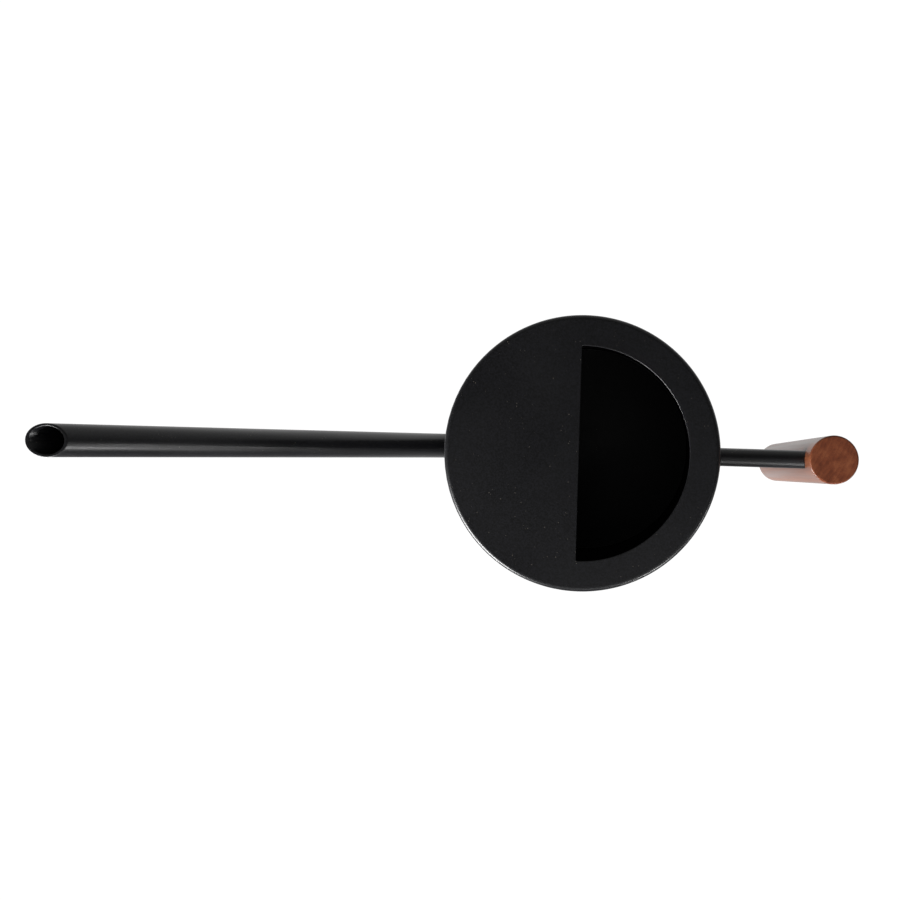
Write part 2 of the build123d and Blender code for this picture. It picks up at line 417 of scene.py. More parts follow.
def pressed_top():
    """From the hole's upper edge out over the flat, down the rounding and the skirt, and back
    underneath at the sheet's thickness to the hole's lower edge."""
    ways = around_hole(hole_outline)
    under = can_height - DISC_THICKNESS
    outside = rim_rounding(ways, RIM_RADIUS, can_height, 1)
    inside = rim_rounding(ways, RIM_RADIUS - DISC_THICKNESS, can_height, 1)[::-1]
    corners = [at_height(hole_outline, under), at_height(hole_outline, can_height)]
    corners.append(at_height(ways * (flat_radius - FLAT_EDGE), can_height))
    corners += outside
    corners.append(at_height(ways * can_radius, plate_low.z))
    corners.append(at_height(ways * (can_radius - DISC_THICKNESS), plate_low.z))
    corners += inside
    easings = [UNDER_EASE, HOLE_EASE] + [0] * (len(corners) - 2)
    return skin("can_top", eased(corners, easings))


can_top = pressed_top()

# %% [markdown]
# ## The pressed base, and the two rim welds
#
# The base is the same pressing with no hole, turned over. Each skirt is butt-welded to the shell
# and the bead is ground flush, so under the coat nothing is left of it but the faintest band: a
# grinder follows the wall to within two hundredths of a millimetre, and not better.

# %% The base
INNER_SHARE, OUTER_SHARE = 0.3, 0.995


def pressed_base():
    """Rings from near the axis out over the underside, up the rounding and the skirt, and back over
    the inner face, with a pole in the middle of each face. A ring on the flat lies at a share of
    the flat's radius."""
    angles = turn(CAN_AROUND)
    ways = np.stack([np.cos(angles), np.sin(angles)], -1)
    rows = [at_height(ways * flat_radius * share, 0.0) for share in (INNER_SHARE, OUTER_SHARE)]
    rows += rim_rounding(ways, RIM_RADIUS, 0.0, -1)
    rows.append(at_height(ways * can_radius, base_high.z))
    rows.append(at_height(ways * (can_radius - DISC_THICKNESS), base_high.z))
    rows += rim_rounding(ways, RIM_RADIUS - DISC_THICKNESS, 0.0, -1)[::-1]
    rows.append(at_height(ways * flat_radius * INNER_SHARE, DISC_THICKNESS))
    return skin("can_base", np.stack(rows), closed=False)


can_base = pressed_base()

# %% A ground butt weld
GRIND_WAVER = 0.02 * MM
BAND_ROWS = 7


def rim_band(name, low, high):
    """A closed ring between two heights and two radii. Its outside bulges from the wall by a
    ground waver: a small mean, plus sines round the can, times a half sine up the band."""
    angles = turn(CAN_AROUND)
    waver = 0.4 + 0.35 * np.sin(6 * angles + 0.5) + 0.25 * np.sin(17 * angles + 2)
    rows = []
    for share in np.linspace(0, 1, BAND_ROWS):
        bulge = GRIND_WAVER * math.sin(math.pi * share)
        rows.append(upright.ring(angles, can_radius + bulge * waver, low + share * (high - low)))
    rows += [upright.ring(angles, can_radius - WALL, z) for z in (high, low)]
    return skin(name, np.stack(rows))


top_band = rim_band("can_top_weld", shell_high.z, plate_low.z)
base_band = rim_band("can_base_weld", base_high.z, shell_low.z)

# %% [markdown]
# ## The spout
#
# A welded tube of 13.5 mm with a 1 mm wall, coped to sit on the can and cut level at the tip. The
# cut meets the tube at a slant, so the outer edge is blunt on the upper side and sharp below. A
# file takes more off where the metal is blunt, so the easing changes round the tip. The mouth's
# inner edge is deburred evenly, and catches the light as a fine line. The tube's own seam runs
# down the inside of its underside as a raised line.

# %% The spout's tube
SPOUT_AROUND = 160
SOFT_EASE = 0.45 * MM
CRISP_EASE = 0.14 * MM
MOUTH_EASE = 0.26 * MM
SEAM_RIDGE = 0.14 * MM
SEAM_HALF_WIDTH = 0.35 * MM


def level_cut(angles, radius):
    """How far along the spout a line at that radius reaches the tip's height."""
    offset = spout_line.ring(angles, radius, 0)
    return (spout_tip[2] - offset[:, 2]) / spout_line.along[2]


def spout_tube():
    """Four rings of corners: the outer and inner surface, each from the can's wall to the level
    cut. The upper side is at angle 0, and outside the easing goes from soft to crisp with
    (1 + cos) / 2. The seam lowers the bore's radius by a bell curve."""
    angles = turn(SPOUT_AROUND)
    blunt_outside = (1 + np.cos(angles)) / 2
    away = (angles - math.pi) * spout_bore
    bore = spout_bore - SEAM_RIDGE * np.exp(-((away / SEAM_HALF_WIDTH) ** 2))
    corners = [spout_line.ring(angles, bore, spout_line.meets_can(angles, bore, can_radius))]
    outer_root = spout_line.meets_can(angles, spout_radius, can_radius)
    corners.append(spout_line.ring(angles, spout_radius, outer_root))
    corners.append(spout_line.ring(angles, spout_radius, level_cut(angles, spout_radius)))
    corners.append(spout_line.ring(angles, bore, level_cut(angles, bore)))
    outer_ease = CRISP_EASE + (SOFT_EASE - CRISP_EASE) * blunt_outside
    return skin("spout", eased(corners, [0, 0, outer_ease, MOUTH_EASE]))


spout = spout_tube()

# %% [markdown]
# ## The weld beads on the can's side
#
# The spout and the arm are each welded round their foot. A bead laid with a filler rod has a
# slightly rounded face and fine ripples, one for each dip of the rod, and the powder coat softens
# them. One function serves both: the bead lies between a ring on the wall and a ring on the bar.

# %% A fillet bead round a bar
BEAD_AROUND = 240
RIPPLE_PITCH = 1.3 * MM
RIPPLE_HEIGHT = 0.05 * MM
BEAD_CROWN = 0.18
TOE_EASE, CROWN_EASE = 0.08, 0.5


def fillet_bead(name, bar, radius, leg):
    """Four rings of corners: the root where bar and wall meet, the toe on the wall, the crown and
    the toe on the bar. The crown is the middle of the toes, pushed off the root by a share of the
    leg that wanders round the bar, plus the ripples. The easings are shares of the leg too."""
    angles = turn(BEAD_AROUND)
    root = bar.ring(angles, radius, bar.meets_can(angles, radius, can_radius))
    on_wall = bar.ring(angles, radius + leg, bar.meets_can(angles, radius + leg, can_radius))
    on_bar = bar.ring(angles, radius, bar.meets_can(angles, radius, can_radius + leg))
    middle = (on_wall + on_bar) / 2
    ripples = round(2 * math.pi * radius / RIPPLE_PITCH)
    uneven = 1 + 0.25 * np.sin(3 * angles + 1.3) + 0.15 * np.sin(7 * angles)
    push = BEAD_CROWN * leg * uneven + RIPPLE_HEIGHT * np.sin(ripples * angles)
    crown = middle + unit(middle - root) * push[:, None]
    easings = [0, TOE_EASE * leg, CROWN_EASE * leg, TOE_EASE * leg]
    return skin(name, eased([root, on_wall, crown, on_bar], easings))


spout_leg = spout_weld_high.y - spout_radius
arm_leg = arm_weld_high.y - arm_radius
spout_bead = fillet_bead("spout_weld", spout_line, spout_radius, spout_leg)
arm_bead = fillet_bead("arm_weld", arm_line, arm_radius, arm_leg)

# %% [markdown]
# ## The arm
#
# A plain steel rod, cut square, drilled and tapped at the grip's end for the stud. It could stay a
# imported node, but a turned outline with eased ends gives a cleaner streak of light along it.

# %% The arm as a turned piece
ARM_AROUND = 128
END_RING = 0.5
ARM_EASE = 0.45 * MM
ARM_MOUTH_EASE = 0.15 * MM
TAP_RUNOUT = 2.0 * MM


def arm_rod():
    """Rings of corners along the arm: its inner end, its outer end, the mouth of the tapped hole and
    the hole's floor, with poles at the inner end and the floor. A smaller ring on the inner end,
    at END_RING of the radius, keeps that end flat."""
    angles = turn(ARM_AROUND)
    bore = stud_high.y
    rings = [(arm_radius, arm_low.x), (arm_radius, arm_high.x), (bore, arm_high.x)]
    rings.append((bore, stud_low.x - TAP_RUNOUT))
    corners = [arm_line.ring(angles, r, s) for r, s in rings]
    start = arm_line.ring(angles, arm_radius * END_RING, arm_low.x)
    rows = eased([start, *corners], [0, ARM_EASE, ARM_MOUTH_EASE, 0, 0], closed=False)
    return skin("arm", rows, closed=False)


arm = arm_rod()

# %% [markdown]
# ## The grip
#
# A 22 mm hardwood dowel with lightly eased ends, stained and oiled. It was turned on its stud
# until tight and stopped 2 degrees off upright. A shallow seat is bored in its side for the arm's
# end, with a hair of clearance that reads as a dark line, and a pilot hole behind it holds the
# brass insert. Sanding a stained dowel leaves it a touch out of round, so its radius wavers with
# the angle by a few hundredths of a millimetre.

# %% The dowel, with its seat and pilot hole
GRIP_WAVER = 0.02 * MM
GRIP_AROUND = 160
GRIP_LEVELS = 15
PILOT_RUNOUT = 1.2 * MM
CUTTER_CLEAR = 5.0 * MM

grip_head = can_height - arm_height
grip_foot = grip_head - GRIP_LENGTH
grip_line = Bar((grip_x, 0, arm_height), (0, math.sin(GRIP_TURN), math.cos(GRIP_TURN)), (1, 0, 0))


def dowel():
    """Level rings from foot to head, the first and last eased, with a pole in the middle of each
    end. A smaller ring inside each end keeps the flat of the end grain flat."""
    angles = turn(GRIP_AROUND)
    radius = grip_radius + GRIP_WAVER * (np.sin(2 * angles + 0.4) + 0.5 * np.sin(5 * angles) - 1.5)
    levels = np.linspace(grip_foot, grip_head, GRIP_LEVELS)
    rings = [grip_line.ring(angles, radius * END_RING, levels[0])]
    rings += [grip_line.ring(angles, radius, level) for level in levels]
    rings.append(grip_line.ring(angles, radius * END_RING, levels[-1]))
    easings = [0, GRIP_EDGE] + [0] * (GRIP_LEVELS - 2) + [GRIP_EDGE, 0]
    return skin("wooden_grip", eased(rings, easings, closed=False), closed=False)


wooden_grip = dowel()
seat_radius = arm_radius + SEAT_GAP
seat_outline = [(seat_radius, grip_low.x - CUTTER_CLEAR), (seat_radius, arm_high.x)]
seat_outline += [(insert_high.y, arm_high.x), (insert_high.y, insert_high.x + PILOT_RUNOUT)]
cut_away(wooden_grip, turned_cutter(arm_line, seat_outline))
apart = (np.array(wooden_grip.bound_box).min(0) - np.array(grip_low)) / MM
print("lowest corner of the grip less the packed one's, in mm:", apart.round(2).tolist())

# %% [markdown]
# ## Colours and nodes
#
# Colours are written as the hex values that a paint chart gives, and one function turns them into
# the linear values that light adds up in. One more small function adds a node, sets its values
# and links its inputs, so that a material reads as a list of what it is made of.


# %% Helpers for materials
def linear(hex_colour):
    """sRGB hex to linear RGBA: c / 12.92 up to 0.04045, and ((c + 0.055) / 1.055) ^ 2.4 above."""
    c = np.array([int(hex_colour[k : k + 2], 16) / 255 for k in (1, 3, 5)])
    values = np.where(c <= 0.04045, c / 12.92, ((c + 0.055) / 1.055) ** 2.4)
    return (*values.tolist(), 1.0)


def add(tree, kind, settings=None, inputs=None, stops=()):
    """Adds a node. An input is a value, or a pair of another node and the name or number of its
    output. A colour ramp's stops are pairs of a place and a hex colour."""
    node = tree.nodes.new(kind)
    for name, value in (settings or {}).items():
        setattr(node, name, value)
    for name, value in (inputs or {}).items():
        if isinstance(value, tuple) and isinstance(value[0], bpy.types.Node):
            tree.links.new(value[0].outputs[value[1]], node.inputs[name])
        else:
            node.inputs[name].default_value = value
    for _ in stops[2:]:
        node.color_ramp.elements.new(0.5)
    for number, (place, colour) in enumerate(stops):
        node.color_ramp.elements[number].position = place
        node.color_ramp.elements[number].color = linear(colour)
    return node


def new_material(name):
    """An empty material with a Principled shader. Returns the material, its tree and the shader."""
    material = bpy.data.materials.new(name)
    material.use_nodes = True
    tree = material.node_tree
    return material, tree, tree.nodes["Principled BSDF"]


def per_mm(millimetres):
    """A texture scale whose pattern repeats about once in that many millimetres."""
    return 1 / (millimetres * MM)


# %% [markdown]
# A Mix node has one set of sockets for numbers and another for colours, under the same names, so
# they are picked by number.

# %% The sockets of a Mix node
MIX_LOW, MIX_HIGH, MIX_NUMBER = 2, 3, 0
MIX_A, MIX_B, MIX_COLOUR = 6, 7, 2

# %% [markdown]
# ## Matte black powder coat
#
# Polyester powder, sprayed on and baked. It melts into a skin about 0.08 mm thick with a very
# fine grain, which breaks a highlight into a soft, slightly sparkling streak. Four things are
# layered here. Slow clouds shift the tone and the gloss, where the coat is thicker or has been
# handled. A low ripple is the coat's orange peel. The grain shows in the colour and as bump. Its
# real pitch of 0.1 mm would not show, so it is drawn at about 0.6 mm. And rare pale specks are
# dust that was caught in the coat.

# %% Dust in the coat
DUST_PITCH = 1.5
DUST_PATCH = 4.0
DUST_COLOUR = "#5A554F"


def dust_specks(tree, coords):
    """1 inside a speck and 0 outside: a speck is where the distance to the nearest of scattered
    points is below a reach, and a slow noise makes that reach zero over much of the coat."""
    scatter = add(tree, "ShaderNodeTexVoronoi", inputs={"Vector": coords, "Scale": per_mm(DUST_PITCH)})
    patches = add(
        tree,
        "ShaderNodeTexNoise",
        inputs={"Vector": coords, "Scale": per_mm(DUST_PATCH), "Detail": 0.0},
    )
    reach = add(
        tree,
        "ShaderNodeMapRange",
        inputs={
            "Value": (patches, "Fac"),
            "From Min": 0.46,
            "From Max": 0.75,
            "To Min": 0.0,
            "To Max": 0.14,
        },
    )
    return add(
        tree,
        "ShaderNodeMath",
        {"operation": "LESS_THAN"},
        {0: (scatter, "Distance"), 1: (reach, "Result")},
    )


# %% The colour of the coat
COAT_TONES = [(0.3, "#08080A"), (0.7, "#0D0D0F")]
GRAIN_TONES = [(0.38, "#020203"), (0.62, "#19191D")]
GRAIN_SHARE = 0.7


def coat_colour(tree, coords, cloud, grain):
    """The clouds' tones and the grain's tones mixed, with dust on top."""
    tone, powder = (
        add(tree, "ShaderNodeValToRGB", inputs={"Fac": (noise, "Fac")}, stops=stops)
        for noise, stops in ((cloud, COAT_TONES), (grain, GRAIN_TONES))
    )
    grainy = add(
        tree,
        "ShaderNodeMix",
        {"data_type": "RGBA"},
        {0: GRAIN_SHARE, MIX_A: (tone, "Color"), MIX_B: (powder, "Color")},
    )
    return add(
        tree,
        "ShaderNodeMix",
        {"data_type": "RGBA"},
        {
            0: (dust_specks(tree, coords), "Value"),
            MIX_A: (grainy, MIX_COLOUR),
            MIX_B: linear(DUST_COLOUR),
        },
    )


# %% The powder coat
CLOUD_WIDTH = 38.0
PEEL_PITCH = 1.8
GRAIN_PITCH = 0.6
COAT_GLOSS = (0.32, 0.38)
COAT_IOR = 1.5


def powder_coat():
    """Colour from clouds, grain and dust, roughness from the clouds, and peel and grain as bump."""
    material, tree, shader = new_material("polyester_powder_coat_black")
    coords = (add(tree, "ShaderNodeTexCoord"), "Object")
    cloud, peel, grain = (
        add(
            tree,
            "ShaderNodeTexNoise",
            inputs={"Vector": coords, "Scale": per_mm(width), "Detail": detail},
        )
        for width, detail in ((CLOUD_WIDTH, 3.0), (PEEL_PITCH, 2.0), (GRAIN_PITCH, 2.0))
    )
    colour = coat_colour(tree, coords, cloud, grain)
    gloss = add(
        tree,
        "ShaderNodeMapRange",
        inputs={
            "Value": (cloud, "Fac"),
            "From Min": 0.3,
            "From Max": 0.7,
            "To Min": COAT_GLOSS[0],
            "To Max": COAT_GLOSS[1],
        },
    )
    ripple = add(
        tree,
        "ShaderNodeBump",
        inputs={"Height": (peel, "Fac"), "Strength": 0.12, "Distance": 0.05 * MM},
    )
    relief = add(
        tree,
        "ShaderNodeBump",
        inputs={
            "Height": (grain, "Fac"),
            "Strength": 0.2,
            "Distance": 0.04 * MM,
            "Normal": (ripple, "Normal"),
        },
    )
    tree.links.new(colour.outputs[MIX_COLOUR], shader.inputs["Base Color"])
    tree.links.new(gloss.outputs["Result"], shader.inputs["Roughness"])
    tree.links.new(relief.outputs["Normal"], shader.inputs["Normal"])
    shader.inputs["IOR"].default_value = COAT_IOR
    return material


coat = powder_coat()
print(coat.name, "has", len(coat.node_tree.nodes), "nodes")

# %% [markdown]
# ## Stained hardwood
#
# A ring-porous reddish wood, turned to a dowel, stained and rubbed with oil. A dowel is cut along
# the trunk, so the same rings that run as long streaks down its side show as shallow curves across
# its ends. One pattern in the piece's own space does both: distance from a far-off heart gives
# the rings, and noise stretched along the grain gives the pores, which are long scratches on the
# side and dots on the end. End grain drinks more of the stain and comes out redder.


# %% The way of the grain
def along_the_grain(tree):
    """Places counted from the dowel's own axis and leaning with it, so that z runs up the grain."""
    coords = (add(tree, "ShaderNodeTexCoord"), "Object")
    return add(
        tree,
        "ShaderNodeMapping",
        {"vector_type": "TEXTURE"},
        {"Vector": coords, "Location": tuple(grip_line.start), "Rotation": (-GRIP_TURN, 0, 0)},
    )


# %% [markdown]
# The trunk's heart is far outside the dowel, so the rings are nearly flat layers, swayed a little
# by slow noise. Blender's ring texture repeats 20 / (2 pi) times in a unit of its own, and its
# scale is worked out from that and the width of a year's growth.

# %% Growth rings
HEART_DISTANCE = 46.0 * MM
HEART_ASIDE = -0.6
RING_WIDTH = 1.9
RING_RISE = 0.02
SWAY = 3.0 * MM
SWAY_LENGTH = 30.0
WAVE_PERIOD = 2 * math.pi / 20


def growth_rings(tree, place):
    """A saw wave of the distance from the heart. HEART_ASIDE puts the heart off to one side, as a
    share of its distance, and RING_RISE is how much a length up the trunk counts as distance."""
    bend = add(
        tree,
        "ShaderNodeTexNoise",
        inputs={"Vector": place, "Scale": per_mm(SWAY_LENGTH), "Detail": 1.0},
    )
    swayed = add(
        tree,
        "ShaderNodeVectorMath",
        {"operation": "MULTIPLY_ADD"},
        {0: (bend, "Color"), 1: (SWAY, SWAY, 0), 2: place},
    )
    from_heart = add(
        tree,
        "ShaderNodeMapping",
        inputs={
            "Vector": (swayed, "Vector"),
            "Location": (HEART_DISTANCE, HEART_ASIDE * HEART_DISTANCE, 0),
            "Scale": (1, 1, RING_RISE),
        },
    )
    return add(
        tree,
        "ShaderNodeTexWave",
        {"wave_type": "RINGS", "rings_direction": "Z", "wave_profile": "SAW"},
        {
            "Vector": (from_heart, "Vector"),
            "Scale": per_mm(RING_WIDTH) * WAVE_PERIOD,
            "Distortion": 3.0,
            "Detail": 2.0,
            "Detail Scale": 1.2,
        },
    )


# %% Pores and streaks
PORE_WIDTH = 0.45
STREAK_WIDTH = 4.5
GRAIN_STRETCH = 0.035


def pores_and_streaks(tree, place):
    """Two noises in places whose z is shrunk by GRAIN_STRETCH, which draws each spot out along the
    grain: fine pores, and broader streaks."""
    thin = add(tree, "ShaderNodeMapping", inputs={"Vector": place, "Scale": (1, 1, GRAIN_STRETCH)})
    return [
        add(
            tree,
            "ShaderNodeTexNoise",
            inputs={"Vector": (thin, "Vector"), "Scale": per_mm(width), "Detail": detail},
        )
        for width, detail in ((PORE_WIDTH, 3.0), (STREAK_WIDTH, 5.0))
    ]


# %% The tones of the side and of the ends
SIDE_TONES = [(0.25, "#542D1D"), (0.5, "#6B3C26"), (0.75, "#824B2E")]
END_TONES = [(0.25, "#64301E"), (0.5, "#86462A"), (0.75, "#A05C38")]


def wood_tone(tree, pattern):
    """The pattern through a ramp for the side and a ramp for the ends. The ends' ramp takes over
    where the surface faces along the grain."""
    side, end = (
        add(tree, "ShaderNodeValToRGB", inputs={"Fac": pattern}, stops=tones)
        for tones in (SIDE_TONES, END_TONES)
    )
    normal = (add(tree, "ShaderNodeTexCoord"), "Normal")
    facing = add(tree, "ShaderNodeSeparateXYZ", inputs={0: normal})
    upward = add(tree, "ShaderNodeMath", {"operation": "ABSOLUTE"}, {0: (facing, "Z")})
    is_end = add(
        tree,
        "ShaderNodeMapRange",
        inputs={"Value": (upward, "Value"), "From Min": 0.55, "From Max": 0.9},
    )
    return add(
        tree,
        "ShaderNodeMix",
        {"data_type": "RGBA"},
        {0: (is_end, "Result"), MIX_A: (side, "Color"), MIX_B: (end, "Color")},
    )


# %% The stained wood
RING_SHARE = 0.12
PORE_COLOUR = "#4A2418"
WOOD_GLOSS = (0.28, 0.40)
WOOD_IOR = 1.56


def stained_wood():
    """Streaks with a share of rings give the tone, pores darken it and are sunk by bump, and the
    streaks change how far the oil shines."""
    material, tree, shader = new_material("stained_oiled_hardwood")
    place = (along_the_grain(tree), "Vector")
    rings = growth_rings(tree, place)
    pores, streaks = pores_and_streaks(tree, place)
    pattern = add(
        tree,
        "ShaderNodeMix",
        {"data_type": "FLOAT"},
        {0: RING_SHARE, MIX_LOW: (streaks, "Fac"), MIX_HIGH: (rings, "Fac")},
    )
    tone = wood_tone(tree, (pattern, MIX_NUMBER))
    in_pore = add(
        tree,
        "ShaderNodeMapRange",
        inputs={
            "Value": (pores, "Fac"),
            "From Min": 0.34,
            "From Max": 0.44,
            "To Min": 0.5,
            "To Max": 0.0,
        },
    )
    colour = add(
        tree,
        "ShaderNodeMix",
        {"data_type": "RGBA"},
        {0: (in_pore, "Result"), MIX_A: (tone, MIX_COLOUR), MIX_B: linear(PORE_COLOUR)},
    )
    gloss = add(
        tree,
        "ShaderNodeMapRange",
        inputs={
            "Value": (streaks, "Fac"),
            "From Min": 0.3,
            "From Max": 0.7,
            "To Min": WOOD_GLOSS[0],
            "To Max": WOOD_GLOSS[1],
        },
    )
    relief = add(
        tree,
        "ShaderNodeBump",
        inputs={"Height": (pores, "Fac"), "Strength": 0.35, "Distance": 0.06 * MM},
    )
    tree.links.new(colour.outputs[MIX_COLOUR], shader.inputs["Base Color"])
    tree.links.new(gloss.outputs["Result"], shader.inputs["Roughness"])
    tree.links.new(relief.outputs["Normal"], shader.inputs["Normal"])
    shader.inputs["IOR"].default_value = WOOD_IOR
    return material


wood = stained_wood()
print(wood.name, "has", len(wood.node_tree.nodes), "nodes")

# %% [markdown]
# ## The metals of the hidden fasteners
#
# The stud is zinc plated, with the pale blue-grey bloom of the plating bath. The insert is turned
# brass. Both are metals, so the shader keeps its default IOR and the colour does the work. The
# marks of the bath and of the turning tool are a bump with a pitch of 0.2 mm.

# %% Zinc plate and brass
BLOOM_WIDTH = 3.0
MARK_PITCH = 0.2
GLOSS_DRIFT = 0.06


def worked_metal(name, dull, bright, roughness):
    """A metal whose colour and gloss drift between two tones with a soft cloud of noise."""
    material, tree, shader = new_material(name)
    coords = (add(tree, "ShaderNodeTexCoord"), "Object")
    bloom, marks = (
        add(
            tree,
            "ShaderNodeTexNoise",
            inputs={"Vector": coords, "Scale": per_mm(width), "Detail": detail},
        )
        for width, detail in ((BLOOM_WIDTH, 3.0), (MARK_PITCH, 1.0))
    )
    tones = [(0.35, dull), (0.65, bright)]
    tone = add(tree, "ShaderNodeValToRGB", inputs={"Fac": (bloom, "Fac")}, stops=tones)
    gloss = add(
        tree,
        "ShaderNodeMapRange",
        inputs={
            "Value": (bloom, "Fac"),
            "To Min": roughness - GLOSS_DRIFT,
            "To Max": roughness + GLOSS_DRIFT,
        },
    )
    relief = add(
        tree,
        "ShaderNodeBump",
        inputs={"Height": (marks, "Fac"), "Strength": 0.2, "Distance": 0.02 * MM},
    )
    tree.links.new(tone.outputs["Color"], shader.inputs["Base Color"])
    tree.links.new(gloss.outputs["Result"], shader.inputs["Roughness"])
    tree.links.new(relief.outputs["Normal"], shader.inputs["Normal"])
    shader.inputs["Metallic"].default_value = 1.0
    print(name, "has", len(tree.nodes), "nodes")
    return material


zinc = worked_metal("zinc_plated_steel", "#9FA3A8", "#C2C6CB", 0.34)
brass = worked_metal("turned_brass", "#B08D4F", "#CBA963", 0.26)

# %% [markdown]
# ## Putting pieces, nodes and finishes together
#
# Each new piece rides on the one body, takes its finish, and hides the imported nodes that it
# stands for, and its row also holds a material slot's name. The nodes that stay visible, inside
# the can and in the grip, get the same finishes.

# %% Assign everything
COAT_SLOT = "black_powder_coat"
new_pieces = [
    (can_shell, coat, COAT_SLOT, ("body_shell",)),
    (can_top, coat, COAT_SLOT, ("top_plate",)),
    (top_band, coat, COAT_SLOT, ("top_rim_weld",)),
    (can_base, coat, COAT_SLOT, ("base_plate",)),
    (base_band, coat, COAT_SLOT, ("base_rim_weld",)),
    (spout, coat, COAT_SLOT, ("spout_tube", "spout_seam_weld")),
    (spout_bead, coat, COAT_SLOT, ("spout_root_weld",)),
    (arm, coat, COAT_SLOT, ("handle_arm",)),
    (arm_bead, coat, COAT_SLOT, ("arm_outer_weld",)),
    (wooden_grip, wood, "stained_wood", ("grip",)),
]
for piece, finish, slot_name, nodes in new_pieces:
    piece.data.materials.append(finish)
    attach(piece, "root")
    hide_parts(*nodes)

kept_finishes = {"grip_stud": zinc, "grip_insert": brass}
replaced = {name for *_, nodes in new_pieces for name in nodes}
for name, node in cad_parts.items():
    if name not in replaced:
        node.data.materials.clear()
        node.data.materials.append(kept_finishes.get(name, coat))
print("packed nodes that still show:", sorted(set(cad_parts) - replaced))

# %% [markdown]
# ## Floor, light and camera
#
# Black paint shows what stands round it more than its own colour, so the room is most of the
# picture. The lens sees a white sweep. The paint sees a white floor close to the can, a darker
# room beyond it that is a little paler on the far side, and low lights on the near side: one soft
# box on the left and a pair of upright strips on the right. These draw two bright arcs on the can's
# rounding, and the strips a streak along the spout. A dim panel on the near side does the same for
# the arm, and another overhead lifts the near side of the flat top.
#
# The floor is one wide square just under the can. It takes no light, and glows instead, so that
# what the lens sees and what the paint sees can be set apart.

# %% How the floor glows
NEAR_EDGE, FAR_EDGE = -0.5, 0.5
DIM_FROM, DIM_TO = -0.15, -0.02
DIM_SHARE = 1 / 5
SHADE_REACH = 1.7
SHADE_TONE = 0.3
GLOW_FADE = 1.8


def floor_glow(tree, white, reach, near_tone, far_tone):
    """The floor's strength for the rays that the paint sends out. From the can out to the reach it
    is white, dimmed on the near side. By GLOW_FADE of the reach it has become a tone that goes from
    near to far along Y. All is shaded at the can's foot."""
    coords = (add(tree, "ShaderNodeTexCoord"), "Object")
    place = add(tree, "ShaderNodeSeparateXYZ", inputs={0: coords})
    distance = add(tree, "ShaderNodeVectorMath", {"operation": "LENGTH"}, {0: coords})
    inside, beyond = (
        add(
            tree,
            "ShaderNodeMapRange",
            inputs={
                "Value": (place, "Y"),
                "From Min": start,
                "From Max": end,
                "To Min": near,
                "To Max": far,
            },
        )
        for start, end, near, far in (
            (DIM_FROM, DIM_TO, white * DIM_SHARE, white),
            (NEAR_EDGE, FAR_EDGE, near_tone, far_tone),
        )
    )
    glow, shade = (
        add(
            tree,
            "ShaderNodeMapRange",
            {"interpolation_type": "SMOOTHSTEP"},
            {
                "Value": (distance, "Value"),
                "From Min": start,
                "From Max": end,
                "To Min": low,
                "To Max": high,
            },
        )
        for start, end, low, high in (
            (reach, reach * GLOW_FADE, (inside, "Result"), (beyond, "Result")),
            (can_radius, can_radius * SHADE_REACH, SHADE_TONE, 1.0),
        )
    )
    return add(
        tree,
        "ShaderNodeMath",
        {"operation": "MULTIPLY"},
        {0: (glow, "Result"), 1: (shade, "Result")},
    )


# %% The floor
FLOOR_Z = -0.2 * MM


def lit_floor(size, white, reach, near_tone, far_tone):
    """A square that the lens sees white, and that glows for other rays as floor_glow says."""
    half = size / 2
    corners = [(x, y, FLOOR_Z) for x, y in ((-half, -half), (half, -half), (half, half), (-half, half))]
    mesh = bpy.data.meshes.new("floor")
    mesh.from_pydata(corners, [], [(0, 1, 2, 3)])
    floor = bpy.data.objects.new("floor", mesh)
    bpy.context.scene.collection.objects.link(floor)
    material, tree, shader = new_material("white_studio_floor")
    glow = floor_glow(tree, white, reach, near_tone, far_tone)
    lens = (add(tree, "ShaderNodeLightPath"), "Is Camera Ray")
    strength = add(
        tree,
        "ShaderNodeMix",
        {"data_type": "FLOAT"},
        {0: lens, MIX_LOW: (glow, "Value"), MIX_HIGH: white},
    )
    tree.links.new(strength.outputs[MIX_NUMBER], shader.inputs["Emission Strength"])
    shader.inputs["Emission Color"].default_value = linear("#FFFFFF")
    shader.inputs["Base Color"].default_value = linear("#000000")
    shader.inputs["Specular IOR Level"].default_value = 0.0
    mesh.materials.append(material)
    print("floor:", size, "m across,", len(tree.nodes), "nodes")


lit_floor(size=40.0, white=1.05, reach=0.28, near_tone=0.10, far_tone=0.45)

# %% The room
HORIZON_HEIGHT, OVERHEAD_HEIGHT = 0.3, 0.95


def room(seen, overhead, near, far):
    """A plain surround. The lens sees it pale. Other rays see one tone overhead, and at the horizon
    a tone that goes from near to far along Y."""
    world = bpy.data.worlds.new("studio")
    bpy.context.scene.world = world
    world.use_nodes = True
    tree = world.node_tree
    way = add(tree, "ShaderNodeSeparateXYZ", inputs={0: (add(tree, "ShaderNodeTexCoord"), "Generated")})
    horizon = add(
        tree,
        "ShaderNodeMapRange",
        inputs={"Value": (way, "Y"), "To Min": near, "To Max": far},
    )
    tone = add(
        tree,
        "ShaderNodeMapRange",
        {"interpolation_type": "SMOOTHSTEP"},
        {
            "Value": (way, "Z"),
            "From Min": HORIZON_HEIGHT,
            "From Max": OVERHEAD_HEIGHT,
            "To Min": (horizon, "Result"),
            "To Max": overhead,
        },
    )
    lens = (add(tree, "ShaderNodeLightPath"), "Is Camera Ray")
    strength = add(
        tree,
        "ShaderNodeMix",
        {"data_type": "FLOAT"},
        {0: lens, MIX_LOW: (tone, "Result"), MIX_HIGH: seen},
    )
    background = tree.nodes["Background"]
    tree.links.new(strength.outputs[MIX_NUMBER], background.inputs["Strength"])
    background.inputs["Color"].default_value = linear("#FFFFFF")


room(seen=0.97, overhead=0.09, near=0.06, far=0.45)


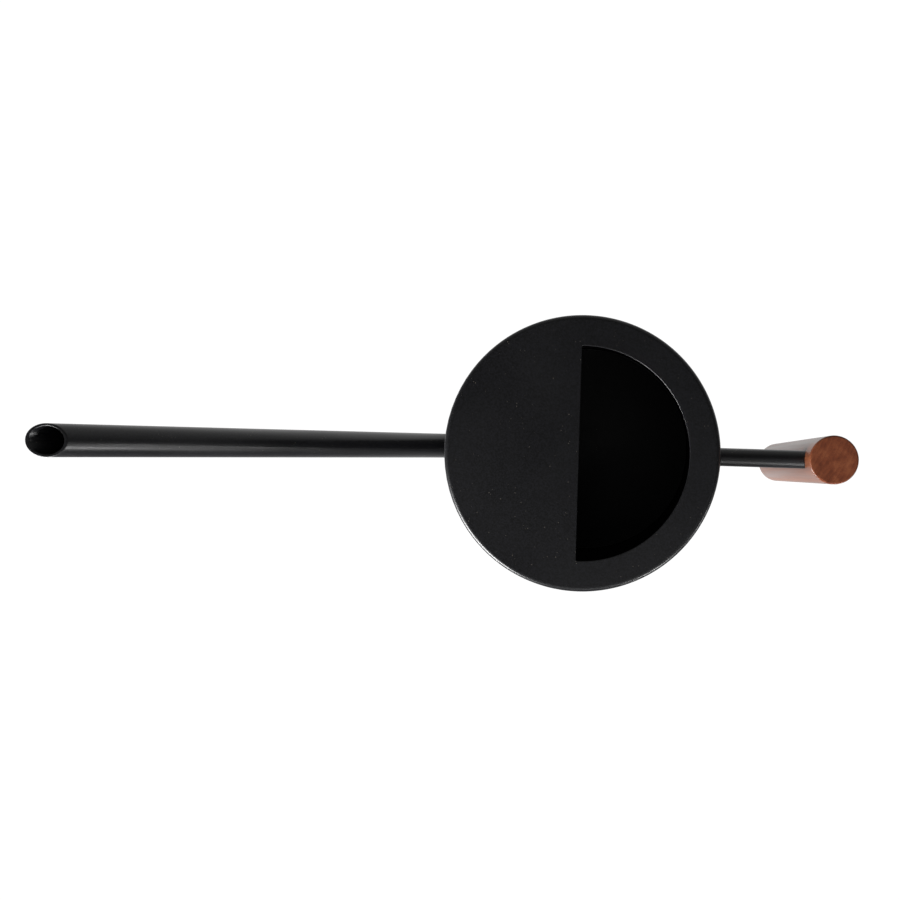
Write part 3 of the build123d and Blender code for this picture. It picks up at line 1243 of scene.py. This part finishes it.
# %% The soft box, the strips and the panels
def soft_box(name, azimuth, elevation, distance, width, height, radiance):
    """A rectangular area light that faces the can's top from an azimuth and an elevation. Its power
    is radiance * area * pi, so that its size can change without its brightness."""
    data = bpy.data.lights.new(name, "AREA")
    data.shape = "RECTANGLE"
    data.size, data.size_y = width, height
    data.energy = radiance * width * height * math.pi
    light = bpy.data.objects.new(name, data)
    bpy.context.scene.collection.objects.link(light)
    azimuth, elevation = math.radians(azimuth), math.radians(elevation)
    flat = math.cos(elevation)
    way = Vector((flat * math.cos(azimuth), flat * math.sin(azimuth), math.sin(elevation)))
    light.location = Vector((0, 0, can_height)) + way * distance
    light.rotation_mode = "QUATERNION"
    light.rotation_quaternion = way.to_track_quat("Z", "Y")
    light.visible_camera = False
    print(f"{name}: {data.energy:.2f} W")


soft_box("soft_box_left", -136, 11, 0.75, 0.42, 0.18, 64)
soft_box("strip_right_far", -30, 6, 0.75, 0.12, 0.16, 13)
soft_box("strip_right_near", -58, 13, 0.75, 0.12, 0.16, 42)
soft_box("panel_near", -82, 31, 1.0, 0.4, 0.2, 2.6)
soft_box("panel_overhead", -55, 62, 1.4, 0.7, 0.7, 0.45)

# %% [markdown]
# The camera looks almost straight down from about 0.6 m, a little off the can's axis. The lens is
# 39 mm on a 36 mm frame. The frame is shifted sideways, as a view camera's is, because the can is
# under the lens and the long spout has to be in the picture too.

# %% The camera
CAMERA_PLACE = Vector((8.2, 8.3, 600.1)) * MM
CAMERA_AIM = Vector((-6.8, 6.2, 160.0)) * MM
CAMERA_TOP = Vector((-0.0295, 1.0, 0.0))
FOCAL_LENGTH = 39.15
FRAME_WIDTH = 36.0
SHIFT_X, SHIFT_Y = -0.13, -0.012
CLIP_NEAR, CLIP_FAR = 0.01, 20.0

lens_data = bpy.data.cameras.new("camera")
lens_data.lens = FOCAL_LENGTH
lens_data.sensor_width = FRAME_WIDTH
lens_data.shift_x, lens_data.shift_y = SHIFT_X, SHIFT_Y
lens_data.clip_start, lens_data.clip_end = CLIP_NEAR, CLIP_FAR
camera = bpy.data.objects.new("camera", lens_data)
bpy.context.scene.collection.objects.link(camera)
back = (CAMERA_PLACE - CAMERA_AIM).normalized()
right = CAMERA_TOP.cross(back).normalized()
turned = Matrix((right, back.cross(right), back)).transposed().to_4x4()
camera.matrix_world = Matrix.Translation(CAMERA_PLACE) @ turned
bpy.context.scene.camera = camera
bpy.context.scene.view_settings.view_transform = "Standard"
tilt = math.degrees(math.acos(back.z))
print(f"camera: {CAMERA_PLACE.z:.3f} m up, {tilt:.1f} degrees off straight down")
